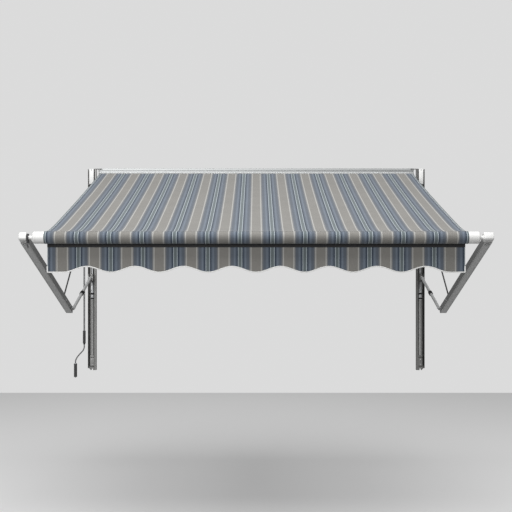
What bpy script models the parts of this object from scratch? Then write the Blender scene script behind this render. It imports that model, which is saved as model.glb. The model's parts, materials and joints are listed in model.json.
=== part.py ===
"""Manual patio awning for a caravan wall: striped canopy on a spring roller, two folding arms,
two gas struts, two wall channels and a hand crank. Metres, +Z up, open.

Origin: centre of the awning rail's back face. The wall is the plane y = 0 and the awning
stands out towards -Y. The left side is at -X.
"""
import math

import bmesh
import bpy
from mathutils import Matrix, Vector

# Driving dimensions
GAP = 0.0003                    # between pieces that touch
CANOPY_WIDTH = 3.110
CLOTH = 0.0012
PROJECTION = 2.440              # wall to roller axis
ROLLER_Z = -0.710
ROLL_R = 0.046                  # roller with its turns of cloth
TUBE_R, TUBE_WALL, SPIGOT = 0.0395, 0.002, 0.050   # the drums' spigots sit in the tube
DRUM_R = 0.0445
DRUM_END = 1.640
NECK_R = 0.015
HEAD_IN, HEAD_OUT = 1.669, 1.740
GEARBOX_IN, GEARBOX_OUT = 1.672, 1.685   # on the left, against a narrower head
GEARBOX_R = 0.029

# Linkage, in the plane x = constant: (y, z)
WALL_PIVOT = Vector((-0.100, -1.0585))
ELBOW = Vector((-0.800, -1.3200))
ROLLER = Vector((-PROJECTION, ROLLER_Z))
STRUT_TOP = Vector((-0.095, -0.5590))
STRUT_ON_ARM = 0.255            # elbow to the strut's pin, along the arm
LINK_X_WALL, LINK_X_ELBOW = 1.632, 1.664
LINK_R, LINK_BORE = 0.0135, 0.0115
LINK_PAST_PIN = 0.016
COLLAR_AT, COLLAR_HALF, COLLAR_WALL = 0.53, 0.020, 0.005   # share of the link, half length, wall
PIN_R = 0.006
PIN_HEAD_R, PIN_HEAD = 0.010, 0.004
ELBOW_PIN = 0.0945              # from the link's far side to the arm's outer wall
ARM_IN, ARM_OUT = 1.682, 1.740
ARM_DEPTH = 0.055
ARM_WALL = 0.003
ARM_PAST_ELBOW = 0.060
ARM_SHORT_OF_ROLLER = 0.034
ARM_CAP = 0.003
HEAD_OUTLINE = [                # along the arm from the roller's axis, and across it
    (-0.0335, -0.030), (0.020, -0.030), (0.032, -0.022),
    (0.036, 0.004), (0.030, 0.024), (0.018, 0.031), (-0.0335, 0.031),
]
HEAD_LIFT = 0.004
STRUT_X = 1.711

STRUT_BODY_R, STRUT_ROD_R = 0.0125, 0.0065
BODY_END, ROD_START, BORE_R = 0.620, 0.330, 0.0072
EYE_PAST, BORE_START = 0.012, 0.016
KNUCKLE_R, KNUCKLE_PAST, KNUCKLE_NECK = 0.010, 0.012, (0.013, 0.018)
STRUT_BRACKET_HALF, STRUT_BRACKET_SHEET = 0.020, 0.004
BRACKET_REACH = 0.012           # of the strut bracket past its pin
LINK_BRACKET_HALF = 0.034       # height above and below the link's pin
CLEAR = 0.03                    # how far cutters stand out

# Wall channels
CHANNEL_X = 1.630
CHANNEL_WIDTH, CHANNEL_DEPTH, SHEET = 0.082, 0.040, 0.003
CHANNEL_TOP, CHANNEL_BOTTOM = 0.018, -1.977
CHAMBER = 0.018                 # closed chamber on the inboard side
BAR_X = CHANNEL_X - 0.002
BAR_WALL = 0.002
LOWER_BAR_R, UPPER_BAR_R = 0.0205, 0.0115
UPPER_BAR_TOP = -0.160
CLIP_HALF, CLIP_FRONT = 0.0205, -0.0460
CLIP_TOP, CLIP_BOTTOM = -1.2185, -1.2770
CLIP_GROOVE_FLOOR = -0.0400
FOOT_TOP, FOOT_FRONT = -1.830, -0.0460
FOOT_HALF, FOOT_CORNER, FOOT_NOTCH = 0.0205, 0.012, (0.009, 0.016)
CHANNEL_NOTCH = 0.012, 0.014    # half width and height of the mouth cut at the bottom
TOP_BRACKET_HALF, TOP_BRACKET_FRONT, TOP_BRACKET_LOW = 0.0225, -0.0480, -0.131
TOP_BRACKET_SHIFT = 0.006       # outboard of the bar

# Rail
RAIL_HALF = 1.565
RAIL_TOP, RAIL_BOTTOM = 0.0275, -0.0345
GROOVE = Vector((-0.0180, -0.0235))
GROOVE_R, GROOVE_LIP = 0.0066, 0.0030
KEDER_R = 0.0058
RAIL_PLATE, RAIL_LEDGE = 0.006, 0.014   # thickness of the back plate and depth of the top flange
RAIL_END_CAP = 0.003, 0.030

# Valance
VALANCE_Y = -2.3960
VALANCE_TOP = -0.7320
VALANCE_WIDTH = 3.090
SCALLOP_PERIOD = 0.358
SCALLOP_LOW, SCALLOP_HIGH = -0.9650, -0.9222
LAST_LOW = 4 * SCALLOP_PERIOD
CORD_R = 0.0040
CORD_LAP = 0.0012               # cloth stops this far above the cord

# Crank, stored on the left channel
CRANK_X, CRANK_Y = -1.709, -0.025
POLE_R, UPPER_GRIP_R, LOWER_GRIP_R, CRANK_ROD_R = 0.0085, 0.0145, 0.0160, 0.0058
POLE_TOP, POLE_END = -0.660, -1.722
UPPER_GRIP = (-1.587, -1.712)
LOWER_GRIP = (-1.914, -2.046)
LOWER_GRIP_X = -1.796
CRANK_CLIP_Z, CRANK_CLIP_HALF, CRANK_CLIP_MOUTH = -0.760, 0.010, 0.0045
HOOK_WIRE_R = 0.0035
HOOK = [(0, 0), (0, 0.030), (0.004, 0.044), (0.014, 0.052), (0.024, 0.046), (0.026, 0.034), (0.022, 0.024)]
BENT_ROD = [
    (0, -GAP), (0, -0.028), (-0.004, -0.044), (-0.014, -0.060), (-0.048, -0.100), (-0.070, -0.128),
    (-0.080, -0.146), (LOWER_GRIP_X - CRANK_X, -0.168), (LOWER_GRIP_X - CRANK_X, -0.320),
]
GEARBOX_FOOT = 0.016, 0.040     # half width of the gearbox's foot and its depth below the axis
EYE_STEM, EYE_LOOP_R, EYE_WIRE, EYE_THICKNESS = 0.016, 0.013, 0.0035, 0.006

SIDES = {"left": -1, "right": 1}
X_AXIS, Y_AXIS, Z_AXIS = Vector((1, 0, 0)), Vector((0, 1, 0)), Vector((0, 0, 1))

for thing in list(bpy.data.objects):
    bpy.data.objects.remove(thing, do_unlink=True)

awning = bpy.data.collections.new("fabric_awning")
cutters = bpy.data.collections.new("cutters")
bpy.context.scene.collection.children.link(awning)
bpy.context.scene.collection.children.link(cutters)


def material(name, colour, roughness, metallic=0.0):
    found = bpy.data.materials.get(name) or bpy.data.materials.new(name)
    found.use_nodes = True
    shader = found.node_tree.nodes["Principled BSDF"]
    shader.inputs["Base Color"].default_value = (*colour, 1)
    shader.inputs["Roughness"].default_value = roughness
    shader.inputs["Metallic"].default_value = metallic
    return found


ALUMINIUM = material("aluminium", (0.62, 0.63, 0.64), 0.38, 1.0)
CHANNEL_GREY = material("channel_grey", (0.42, 0.43, 0.43), 0.45, 0.8)
WHITE = material("white_plastic", (0.85, 0.85, 0.84), 0.40)
STEEL = material("steel", (0.55, 0.56, 0.57), 0.30, 1.0)
BLACK = material("black_plastic", (0.03, 0.03, 0.035), 0.50)
GRIP_GREY = material("grip_grey", (0.12, 0.12, 0.12), 0.60)
CANOPY_CLOTH = material("canopy_cloth", (0.33, 0.35, 0.37), 0.90)
PIPING = material("piping", (0.80, 0.81, 0.80), 0.70)


def keep(piece, finish, parent=None):
    """Puts a finished object in the awning's collection, with its material and parent."""
    for owner in list(piece.users_collection):
        owner.objects.unlink(piece)
    awning.objects.link(piece)
    piece.data.materials.clear()
    piece.data.materials.append(finish)
    if parent:
        piece.parent = parent
        piece.matrix_parent_inverse = parent.matrix_world.inverted()
    return piece


def pivot(name, x, point):
    """An empty on a joint's axis."""
    empty = bpy.data.objects.new(name, None)
    empty.location = (x, *point)
    awning.objects.link(empty)
    bpy.context.view_layer.update()
    return empty


def turned(name, profile, origin, direction, finish, parent=None, segments=20):
    """A body of revolution. profile holds (height along the axis, radius), from top to bottom."""
    mesh = bpy.data.meshes.new(name)
    ring = profile[0][1] > 0
    edges = [(i, i + 1) for i in range(len(profile) - 1)]
    if ring:
        edges.append((len(profile) - 1, 0))
    mesh.from_pydata([(radius, 0, height) for height, radius in profile], edges, [])
    piece = bpy.data.objects.new(name, mesh)
    piece.location = origin
    piece.rotation_euler = Vector(direction).to_track_quat("Z", "Y").to_euler()
    screw = piece.modifiers.new("turn", "SCREW")
    screw.steps = screw.render_steps = segments
    screw.use_merge_vertices = True
    screw.merge_threshold = 0.00005
    keep(piece, finish, parent)
    mesh.shade_smooth()
    return piece


def rod(name, start, end, radius, finish, parent=None, segments=20):
    start, end = Vector(start), Vector(end)
    length = (end - start).length
    profile = [(length, 0), (length, radius), (0, radius), (0, 0)]
    return turned(name, profile, start, end - start, finish, parent, segments)


def sleeve(name, start, end, outer, inner, finish, parent=None, segments=20):
    start, end = Vector(start), Vector(end)
    length = (end - start).length
    profile = [(length, outer), (0, outer), (0, inner), (length, inner)]
    return turned(name, profile, start, end - start, finish, parent, segments)


def box(name, low, high, finish, parent=None, bevel=0.0):
    """A box between two world corners, in any order."""
    low, high = Vector(low), Vector(high)
    bpy.ops.mesh.primitive_cube_add(size=1, location=(low + high) / 2)
    piece = bpy.context.object
    piece.name = piece.data.name = name
    size = high - low
    piece.data.transform(Matrix.Diagonal((abs(size.x), abs(size.y), abs(size.z), 1)))
    if bevel:
        round_edges = piece.modifiers.new("round", "BEVEL")
        round_edges.width = bevel
        round_edges.segments = 2
    return keep(piece, finish, parent)


def extruded(name, outlines, length, frame, finish, parent=None):
    """A flat outline with its holes, drawn in the frame's x and y and extruded along its z."""
    curve = bpy.data.curves.new(name, "CURVE")
    curve.dimensions = "2D"
    curve.fill_mode = "BOTH"
    curve.extrude = length / 2
    for outline in outlines:
        spline = curve.splines.new("POLY")
        spline.points.add(len(outline) - 1)
        for point, (x, y) in zip(spline.points, outline):
            point.co = (x, y, 0, 1)
        spline.use_cyclic_u = True
    drawn = bpy.data.objects.new(name, curve)
    bpy.context.scene.collection.objects.link(drawn)
    evaluated = drawn.evaluated_get(bpy.context.evaluated_depsgraph_get())
    mesh = bpy.data.meshes.new_from_object(evaluated)
    bpy.data.objects.remove(drawn)
    work = bmesh.new()
    work.from_mesh(mesh)
    bmesh.ops.remove_doubles(work, verts=work.verts, dist=0.00001)
    bmesh.ops.recalc_face_normals(work, faces=work.faces)
    work.to_mesh(mesh)
    work.free()
    mesh.name = name
    piece = bpy.data.objects.new(name, mesh)
    piece.matrix_world = frame
    return keep(piece, finish, parent)


def placed(x_direction, y_direction, origin):
    z_direction = x_direction.cross(y_direction)
    turn = Matrix((x_direction, y_direction, z_direction)).transposed()
    return Matrix.Translation(origin) @ turn.to_4x4()


def circle(centre, radius, start, sweep, count):
    angles = [start + sweep * i / count for i in range(count + 1)]
    return [(centre[0] + radius * math.cos(a), centre[1] + radius * math.sin(a)) for a in angles]


def cut(piece, *tools):
    for tool in tools:
        for owner in list(tool.users_collection):
            owner.objects.unlink(tool)
        cutters.objects.link(tool)
        tool.hide_render = True
        tool.display_type = "WIRE"
        boolean = piece.modifiers.new("cut " + tool.name, "BOOLEAN")
        boolean.operation = "DIFFERENCE"
        boolean.solver = "EXACT"
        boolean.object = tool


def tube_path(name, points, radius, finish, parent=None):
    curve = bpy.data.curves.new(name, "CURVE")
    curve.dimensions = "3D"
    curve.bevel_depth = radius
    curve.bevel_resolution = 2
    curve.use_fill_caps = True
    spline = curve.splines.new("POLY")
    spline.points.add(len(points) - 1)
    for point, place in zip(spline.points, points):
        point.co = (*place, 1)
    return keep(bpy.data.objects.new(name, curve), finish, parent)


def make_rail():
    """Back plate, a top flange and a slotted tube that holds the keder."""
    gx, gz = GROOVE
    lip = GROOVE_R + GROOVE_LIP
    slot, facing = math.radians(28), math.radians(196)
    outline = [
        (0, RAIL_TOP),
        (-RAIL_LEDGE + 0.002, RAIL_TOP),
        (-RAIL_LEDGE, RAIL_TOP - 0.002),
        (-RAIL_LEDGE, RAIL_TOP - 0.021),
        (-RAIL_PLATE, RAIL_TOP - 0.023),
        (-RAIL_PLATE, gz + 0.0085),
    ]
    outline += circle((gx, gz), lip, facing - slot, -math.radians(95), 6)[::-1][2:]
    outline += circle((gx, gz), GROOVE_R, facing + slot, 2 * math.pi - 2 * slot, 16)[::-1]
    outline += circle((gx, gz), lip, facing + 1.9, -(1.9 - slot), 8)[::-1]
    outline += [(-0.004, RAIL_BOTTOM), (0, RAIL_BOTTOM)]
    frame = placed(Y_AXIS, Z_AXIS, Vector((0, 0, 0)))
    extruded("awning_rail", [outline], 2 * RAIL_HALF, frame, ALUMINIUM)
    thick, deep = RAIL_END_CAP
    for side, sign in SIDES.items():
        start = sign * (RAIL_HALF + GAP)
        box(
            "rail_end_cap_" + side,
            (start, 0, RAIL_BOTTOM - 0.001),
            (start + sign * thick, -deep, RAIL_TOP + 0.001),
            WHITE,
            bevel=0.001,
        )
    half = CANOPY_WIDTH / 2
    rod("canopy_keder", (-half, gx, gz), (half, gx, gz), KEDER_R, PIPING, segments=12)


def make_canopy():
    """Cloth from the rail's slot to where it meets the roller."""
    start = GROOVE + Vector((-(GROOVE_R + GROOVE_LIP + 0.001), -0.0035))
    line = ROLLER - start
    lift = math.asin((ROLL_R + CLOTH / 2 + GAP) / line.length)
    heading = math.atan2(line.y, line.x) - lift
    run = Vector((math.cos(heading), math.sin(heading)))
    normal = Vector((run.y, -run.x))
    end = start + run * (line.length * math.cos(lift))
    half = normal * CLOTH / 2
    outline = [start + half, end + half, end - half, start - half]
    frame = placed(Y_AXIS, Z_AXIS, Vector((0, 0, 0)))
    extruded("canopy", [outline], CANOPY_WIDTH, frame, CANOPY_CLOTH)


def make_roller():
    """Tube with its turns of cloth, a drum at each end and the axles out to the arm heads."""
    hub = pivot("roller_axis", 0, ROLLER)
    half = CANOPY_WIDTH / 2
    left, right = (-half, *ROLLER), (half, *ROLLER)
    sleeve("roller_tube", left, right, TUBE_R, TUBE_R - TUBE_WALL, ALUMINIUM, hub, 32)
    sleeve("canopy_roll", left, right, ROLL_R, TUBE_R + GAP, CANOPY_CLOTH, hub, 40)
    for side, sign in SIDES.items():
        length = DRUM_END - half - GAP
        profile = [
            (length, 0),
            (length, DRUM_R - 0.010),
            (length - 0.008, DRUM_R - 0.002),
            (length - 0.012, DRUM_R),
            (0, DRUM_R),
            (0, TUBE_R - TUBE_WALL - GAP),
            (-SPIGOT, TUBE_R - TUBE_WALL - GAP),
            (-SPIGOT, 0),
        ]
        start = (sign * (half + GAP), *ROLLER)
        turned("roller_drum_" + side, profile, start, X_AXIS * sign, WHITE, hub, 32)
        neck_end = GEARBOX_IN if sign < 0 else HEAD_IN
        neck = (sign * (DRUM_END + GAP), *ROLLER), (sign * (neck_end - GAP), *ROLLER)
        rod("roller_axle_" + side, *neck, NECK_R, WHITE, hub)


def make_valance():
    """Scalloped strip hung under the roller, bound with cord along its hem."""
    hang = pivot("valance_axis", 0, ROLLER)
    half = VALANCE_WIDTH / 2
    middle = (SCALLOP_LOW + SCALLOP_HIGH) / 2
    swing = (SCALLOP_HIGH - SCALLOP_LOW) / 2

    def hem(x):
        if abs(x) > LAST_LOW:
            return SCALLOP_LOW
        return middle - swing * math.cos(2 * math.pi * x / SCALLOP_PERIOD)

    steps = 80
    stations = [-LAST_LOW + 2 * LAST_LOW * i / steps for i in range(steps + 1)]
    stations = [-half, *stations, half]
    lift = CORD_R + CORD_LAP
    outline = [(half, VALANCE_TOP), (-half, VALANCE_TOP)]
    outline += [(x, hem(x) + lift) for x in stations]
    frame = placed(X_AXIS, Z_AXIS, Vector((0, VALANCE_Y, 0)))
    extruded("valance", [outline], CLOTH, frame, CANOPY_CLOTH, hang)
    path = [(x, VALANCE_Y, hem(x)) for x in stations]
    tube_path("valance_piping", path, CORD_R, PIPING, hang)


def make_arm(side, sign):
    """U section open to the top, with the white head that carries the roller."""
    along = Vector((0, *(ROLLER - ELBOW).normalized()))
    up = Vector((0, -along.z, along.y)) * -1
    elbow = Vector((0, *ELBOW))
    reach = (ROLLER - ELBOW).length
    joint = pivot("elbow_axis_" + side, sign * LINK_X_ELBOW, ELBOW)
    length = reach + ARM_PAST_ELBOW - ARM_SHORT_OF_ROLLER
    middle = elbow + along * ((reach - ARM_SHORT_OF_ROLLER - ARM_PAST_ELBOW) / 2)
    half_width = (ARM_OUT - ARM_IN) / 2
    centre_x = sign * (ARM_OUT + ARM_IN) / 2
    deep = ARM_DEPTH / 2
    w, t = half_width, ARM_WALL
    section = [
        (-w, deep), (-w, -deep), (w, -deep), (w, deep),
        (w - t, deep), (w - t, t - deep), (t - w, t - deep), (t - w, deep),
    ]
    middle.x = centre_x
    arm = extruded("main_arm_" + side, [section], length, placed(X_AXIS, up, middle), ALUMINIUM, joint)
    strut_end = elbow + along * STRUT_ON_ARM
    inner, outer = sign * (ARM_IN - 0.01), sign * (ARM_OUT + 0.01)
    holes = [
        rod("elbow_hole_" + side, (inner, *ELBOW), (outer, *ELBOW), PIN_R + GAP, STEEL),
        rod(
            "strut_hole_" + side,
            (inner, strut_end.y, strut_end.z),
            (outer, strut_end.y, strut_end.z),
            PIN_R + GAP,
            STEEL,
        ),
    ]
    cut(arm, *holes)

    cap_end = elbow - along * (ARM_PAST_ELBOW + GAP + ARM_CAP / 2)
    cap_end.x = centre_x
    plate = [(-w, -deep), (w, -deep), (w, deep), (-w, deep)]
    extruded("arm_end_cap_" + side, [plate], ARM_CAP, placed(X_AXIS, up, cap_end), BLACK, joint)

    tip = ELBOW_PIN + PIN_HEAD
    pin = [(tip, 0), (tip, PIN_HEAD_R), (ELBOW_PIN, PIN_HEAD_R), (ELBOW_PIN, PIN_R), (0, PIN_R), (0, 0)]
    start = (sign * (ARM_OUT + GAP - ELBOW_PIN), *ELBOW)
    turned("elbow_pin_" + side, pin, start, X_AXIS * sign, STEEL, joint)

    head_x = (sign * (GEARBOX_OUT + GAP if sign < 0 else HEAD_IN), sign * HEAD_OUT)
    head_centre = Vector((sum(head_x) / 2, *ROLLER)) + up * HEAD_LIFT
    width = abs(head_x[1] - head_x[0])
    head = extruded("arm_head_" + side, [HEAD_OUTLINE], width, placed(along, up, head_centre), WHITE, joint)
    soften = head.modifiers.new("soften", "BEVEL")
    soften.width = 0.004
    soften.segments = 2


def make_link(side, sign):
    """Tube from the channel to the elbow, its collar, and the bracket and pin at the wall."""
    joint = pivot("link_axis_" + side, sign * LINK_X_WALL, WALL_PIVOT)
    wall = Vector((sign * LINK_X_WALL, *WALL_PIVOT))
    elbow = Vector((sign * LINK_X_ELBOW, *ELBOW))
    along = (elbow - wall).normalized()
    link = sleeve(
        "lower_link_" + side, wall - along * LINK_PAST_PIN, elbow + along * LINK_PAST_PIN,
        LINK_R, LINK_BORE, ALUMINIUM, joint,
    )
    wide = X_AXIS * CLEAR
    tools = [
        rod("link_hole_wall_" + side, wall - wide, wall + wide, PIN_R + GAP, STEEL),
        rod("link_hole_elbow_" + side, elbow - wide, elbow + wide, PIN_R + GAP, STEEL),
    ]
    cut(link, *tools)
    middle = wall + (elbow - wall) * COLLAR_AT
    start, end = middle - along * COLLAR_HALF, middle + along * COLLAR_HALF
    sleeve("link_collar_" + side, start, end, LINK_R + COLLAR_WALL, LINK_R + GAP, BLACK, joint)

    front = -(CHANNEL_DEPTH + GAP)
    cheek = LINK_R + 0.0060
    y, z = WALL_PIVOT
    bracket = box(
        "link_bracket_" + side,
        (sign * LINK_X_WALL - cheek, front, z - LINK_BRACKET_HALF),
        (sign * LINK_X_WALL + cheek, y - 0.014, z + LINK_BRACKET_HALF),
        STEEL,
    )
    slot = box(
        "link_slot_" + side,
        (sign * LINK_X_WALL - cheek + SHEET, front - 0.004, z - 0.05),
        (sign * LINK_X_WALL + cheek - SHEET, y - 0.05, z + 0.05),
        STEEL,
    )
    hole = rod("bracket_hole_" + side, wall - wide, wall + wide, PIN_R + GAP, STEEL)
    cut(bracket, slot, hole)
    head = cheek + GAP
    profile = [
        (head + 0.003, 0), (head + 0.003, 0.009), (head, 0.009), (head, PIN_R),
        (-head - 0.002, PIN_R), (-head - 0.002, 0),
    ]
    turned("link_pin_" + side, profile, wall, X_AXIS * sign, STEEL)


def make_strut(side, sign):
    """Gas strut from the channel's bracket to the arm. Its lower pin stays inside the arm's U."""
    top = Vector((sign * STRUT_X, *STRUT_TOP))
    on_arm = ELBOW + (ROLLER - ELBOW).normalized() * STRUT_ON_ARM
    low = Vector((sign * STRUT_X, *on_arm))
    along = (low - top).normalized()
    swing = pivot("strut_axis_" + side, sign * STRUT_X, STRUT_TOP)
    wide = X_AXIS * CLEAR
    ends = top - along * EYE_PAST, top + along * BODY_END
    body = rod("strut_cylinder_" + side, *ends, STRUT_BODY_R, BLACK, swing, 16)
    ends = top + along * BORE_START, top + along * (BODY_END + 0.01)
    bore = rod("strut_bore_" + side, *ends, BORE_R, STEEL, segments=16)
    eye = rod("strut_eye_" + side, top - wide, top + wide, PIN_R + GAP, STEEL)
    cut(body, bore, eye)
    length = (low - top).length
    profile = [
        (length + KNUCKLE_PAST, 0), (length + KNUCKLE_PAST, KNUCKLE_R), (length - KNUCKLE_NECK[0], KNUCKLE_R),
        (length - KNUCKLE_NECK[1], STRUT_ROD_R), (ROD_START, STRUT_ROD_R), (ROD_START, 0),
    ]
    piston = turned("strut_rod_" + side, profile, top, along, STEEL, swing, 16)
    pin_half = (ARM_OUT - ARM_IN) / 2 - ARM_WALL - 0.001
    rod("strut_pin_" + side, low - X_AXIS * pin_half, low + X_AXIS * pin_half, PIN_R, STEEL, swing)
    cut(piston, rod("knuckle_hole_" + side, low - wide, low + wide, PIN_R + GAP, STEEL))


def make_strut_bracket(side, sign):
    """Two cheeks and a back on the channel's outer side, with the pin between them."""
    y, z = STRUT_TOP
    inner, outer = STRUT_X - STRUT_BRACKET_HALF, STRUT_X + STRUT_BRACKET_HALF
    channel_side = CHANNEL_X + CHANNEL_WIDTH / 2 + GAP
    bracket = box(
        "strut_bracket_" + side, (sign * channel_side, -0.002, z - 0.030),
        (sign * outer, y - BRACKET_REACH, z + 0.030), STEEL,
    )
    slot = box(
        "strut_slot_" + side, (sign * (inner + STRUT_BRACKET_SHEET), -0.008, z - 0.05),
        (sign * (outer - STRUT_BRACKET_SHEET), y - 0.05, z + 0.05), STEEL,
    )
    corner = box(
        "strut_corner_" + side, (sign * (channel_side - 0.01), -0.008, z - 0.05),
        (sign * inner, y - 0.05, z + 0.05), STEEL,
    )
    middle = Vector((sign * STRUT_X, y, z))
    wide = X_AXIS * CLEAR
    hole = rod("strut_bracket_hole_" + side, middle - wide, middle + wide, PIN_R + GAP, STEEL)
    cut(bracket, slot, corner, hole)
    half = STRUT_BRACKET_HALF + 0.001
    profile = [(half, 0), (half, PIN_R), (-half, PIN_R), (-half, 0)]
    turned("strut_top_pin_" + side, profile, middle, X_AXIS * sign, STEEL)


def make_channel(side, sign):
    """Sheet channel on the wall with a closed chamber inboard, and what slides or sits in it."""
    half, deep, t = CHANNEL_WIDTH / 2, CHANNEL_DEPTH, SHEET
    section = [
        (half, 0), (half, -deep), (half - t, -deep), (half - t, -t), (CHAMBER - half, -t),
        (CHAMBER - half, -deep), (-half, -deep), (-half, 0),
    ]
    hollow = [(CHAMBER - t - half, -t), (CHAMBER - t - half, t - deep), (t - half, t - deep), (t - half, -t)]
    outlines = [[(sign * x, y) for x, y in line] for line in (section, hollow)]
    centre = Vector((sign * CHANNEL_X, 0, (CHANNEL_TOP + CHANNEL_BOTTOM) / 2))
    frame = placed(X_AXIS, Y_AXIS, centre)
    channel = extruded(
        "wall_channel_" + side, outlines, CHANNEL_TOP - CHANNEL_BOTTOM, frame, CHANNEL_GREY,
    )
    mouth, high = CHANNEL_NOTCH
    notch_cut = box(
        "channel_notch_" + side, (sign * CHANNEL_X - mouth, 0.010, CHANNEL_BOTTOM - 0.01),
        (sign * CHANNEL_X + mouth, -0.010, CHANNEL_BOTTOM + high), STEEL,
    )
    corner_cut = box(
        "channel_corner_" + side, (-0.014, 0.010, -0.014), (0.014, -0.060, 0.014), STEEL,
    )
    corner_cut.location = (sign * (CHANNEL_X + half), -0.025, CHANNEL_BOTTOM)
    corner_cut.rotation_euler = (0, math.radians(45), 0)
    cut(channel, notch_cut, corner_cut)

    x = sign * BAR_X
    y = -(SHEET + GAP + LOWER_BAR_R)
    bracket_z = WALL_PIVOT.y
    lower = (x, y, FOOT_TOP + GAP), (x, y, CLIP_BOTTOM - GAP)
    upper = (x, y, bracket_z + LINK_BRACKET_HALF + GAP), (x, y, UPPER_BAR_TOP)
    sleeve("lower_bar_" + side, *lower, LOWER_BAR_R, LOWER_BAR_R - BAR_WALL, CHANNEL_GREY, None, 24)
    sleeve("upper_bar_" + side, *upper, UPPER_BAR_R, UPPER_BAR_R - BAR_WALL, ALUMINIUM, None, 20)
    back = -(SHEET + GAP)
    clip = box(
        "channel_clip_" + side, (x - CLIP_HALF, back, CLIP_BOTTOM),
        (x + CLIP_HALF, CLIP_FRONT, bracket_z - LINK_BRACKET_HALF - GAP), ALUMINIUM,
    )
    for name, low, high in (
        ("low", CLIP_BOTTOM + 0.004, CLIP_BOTTOM + 0.016),
        ("high", CLIP_TOP - 0.008, CLIP_TOP + 0.006),
    ):
        corners = (x - CLEAR, CLIP_GROOVE_FLOOR, low), (x + CLEAR, -0.06, high)
        cut(clip, box("clip_groove_%s_%s" % (name, side), *corners, BLACK))

    notch, notch_top = FOOT_NOTCH
    bottom = CHANNEL_BOTTOM
    outline = [
        (-FOOT_HALF, FOOT_TOP), (FOOT_HALF, FOOT_TOP), (FOOT_HALF, bottom + FOOT_CORNER),
        (FOOT_HALF - 0.006, bottom), (notch, bottom), (notch, bottom + notch_top),
        (-notch, bottom + notch_top), (-notch, bottom), (-FOOT_HALF, bottom),
    ]
    outline = [(sign * px, pz) for px, pz in outline]
    frame = placed(X_AXIS, Z_AXIS, Vector((x, (back + FOOT_FRONT) / 2, 0)))
    extruded("foot_bracket_" + side, [outline], back - FOOT_FRONT, frame, CHANNEL_GREY)

    # White bracket that carries the top of the slide bar: a folded sheet, open to the back
    w, front = TOP_BRACKET_HALF, TOP_BRACKET_FRONT
    outside = [(-w, back), (-w, front), (w, front), (w, back)]
    inside = [(w - SHEET, back), (w - SHEET, front + SHEET), (SHEET - w, front + SHEET), (SHEET - w, back)]
    middle = Vector((x + sign * TOP_BRACKET_SHIFT, 0, (CHANNEL_TOP + TOP_BRACKET_LOW) / 2))
    frame = placed(X_AXIS, Y_AXIS, middle)
    extruded("top_bracket_" + side, [outside + inside], CHANNEL_TOP - TOP_BRACKET_LOW, frame, WHITE)


def make_gearbox():
    """Crank gearbox between the left head and drum, with the eye that the crank hooks into."""
    x_in, x_out = -GEARBOX_IN, -GEARBOX_OUT
    y, z = ROLLER
    joint = bpy.data.objects["elbow_axis_left"]
    wide, deep = GEARBOX_FOOT
    outline = circle((0, 0), GEARBOX_R, math.radians(-40), math.radians(260), 16)
    outline += [(-wide, -deep), (wide, -deep)]
    frame = placed(Y_AXIS, Z_AXIS, Vector(((x_in + x_out) / 2, y, z)))
    extruded("crank_gearbox", [outline], abs(x_out - x_in), frame, BLACK, joint)
    middle_x = (x_in + x_out) / 2
    top = z - deep - GAP
    axis = pivot("crank_eye_axis", middle_x, (y, top))
    centre = (0, 0.002 - EYE_STEM - EYE_LOOP_R)
    inner = circle(centre, EYE_LOOP_R - 2 * EYE_WIRE, 0, math.radians(360), 16)[:-1]
    outer = circle(centre, EYE_LOOP_R, math.radians(110), math.radians(320), 20)
    shape = [(0.0045, 0), (-0.0045, 0)] + outer
    frame = placed(Y_AXIS, Z_AXIS, Vector((middle_x, y, top)))
    extruded("crank_eye", [shape, inner], EYE_THICKNESS, frame, STEEL, axis)


def make_crank():
    """The loose crank handle, stored upright in a clip on the left channel."""
    low, high = UPPER_GRIP
    rod("crank_pole", (CRANK_X, CRANK_Y, POLE_END), (CRANK_X, CRANK_Y, POLE_TOP), POLE_R, ALUMINIUM, None, 14)
    ends = (CRANK_X, CRANK_Y, high), (CRANK_X, CRANK_Y, low)
    sleeve("crank_upper_grip", *ends, UPPER_GRIP_R, POLE_R + GAP, GRIP_GREY)
    points = [(CRANK_X + x, CRANK_Y, POLE_TOP + GAP + z) for x, z in HOOK]
    tube_path("crank_hook", points, HOOK_WIRE_R, STEEL)
    points = [(CRANK_X + x, CRANK_Y, POLE_END + z) for x, z in BENT_ROD]
    tube_path("crank_rod", points, CRANK_ROD_R, STEEL)
    low, high = LOWER_GRIP
    ends = (LOWER_GRIP_X, CRANK_Y, high), (LOWER_GRIP_X, CRANK_Y, low)
    sleeve("crank_lower_grip", *ends, LOWER_GRIP_R, CRANK_ROD_R + GAP, GRIP_GREY)

    height, half, mouth_half = CRANK_CLIP_Z, CRANK_CLIP_HALF, CRANK_CLIP_MOUTH
    edge = -(CHANNEL_X + CHANNEL_WIDTH / 2 + GAP)
    clip = box(
        "crank_clip", (edge, -0.004, height - half), (CRANK_X - 0.011, CRANK_Y - 0.009, height + half), BLACK,
    )
    low, high = (CRANK_X, CRANK_Y, height - CLEAR), (CRANK_X, CRANK_Y, height + CLEAR)
    tool = rod("clip_hole", low, high, POLE_R + GAP, BLACK)
    mouth = box(
        "clip_mouth", (CRANK_X - mouth_half, CRANK_Y, height - CLEAR),
        (CRANK_X + mouth_half, CRANK_Y - CLEAR, height + CLEAR), BLACK,
    )
    cut(clip, tool, mouth)


make_rail()
make_canopy()
make_roller()
make_valance()
for side_name, side_sign in SIDES.items():
    make_channel(side_name, side_sign)
    make_link(side_name, side_sign)
    make_arm(side_name, side_sign)
    make_strut_bracket(side_name, side_sign)
    make_strut(side_name, side_sign)
make_gearbox()
make_crank()
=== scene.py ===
import json
import math

import bmesh
import bpy
from mathutils import Matrix, Vector, noise


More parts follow.
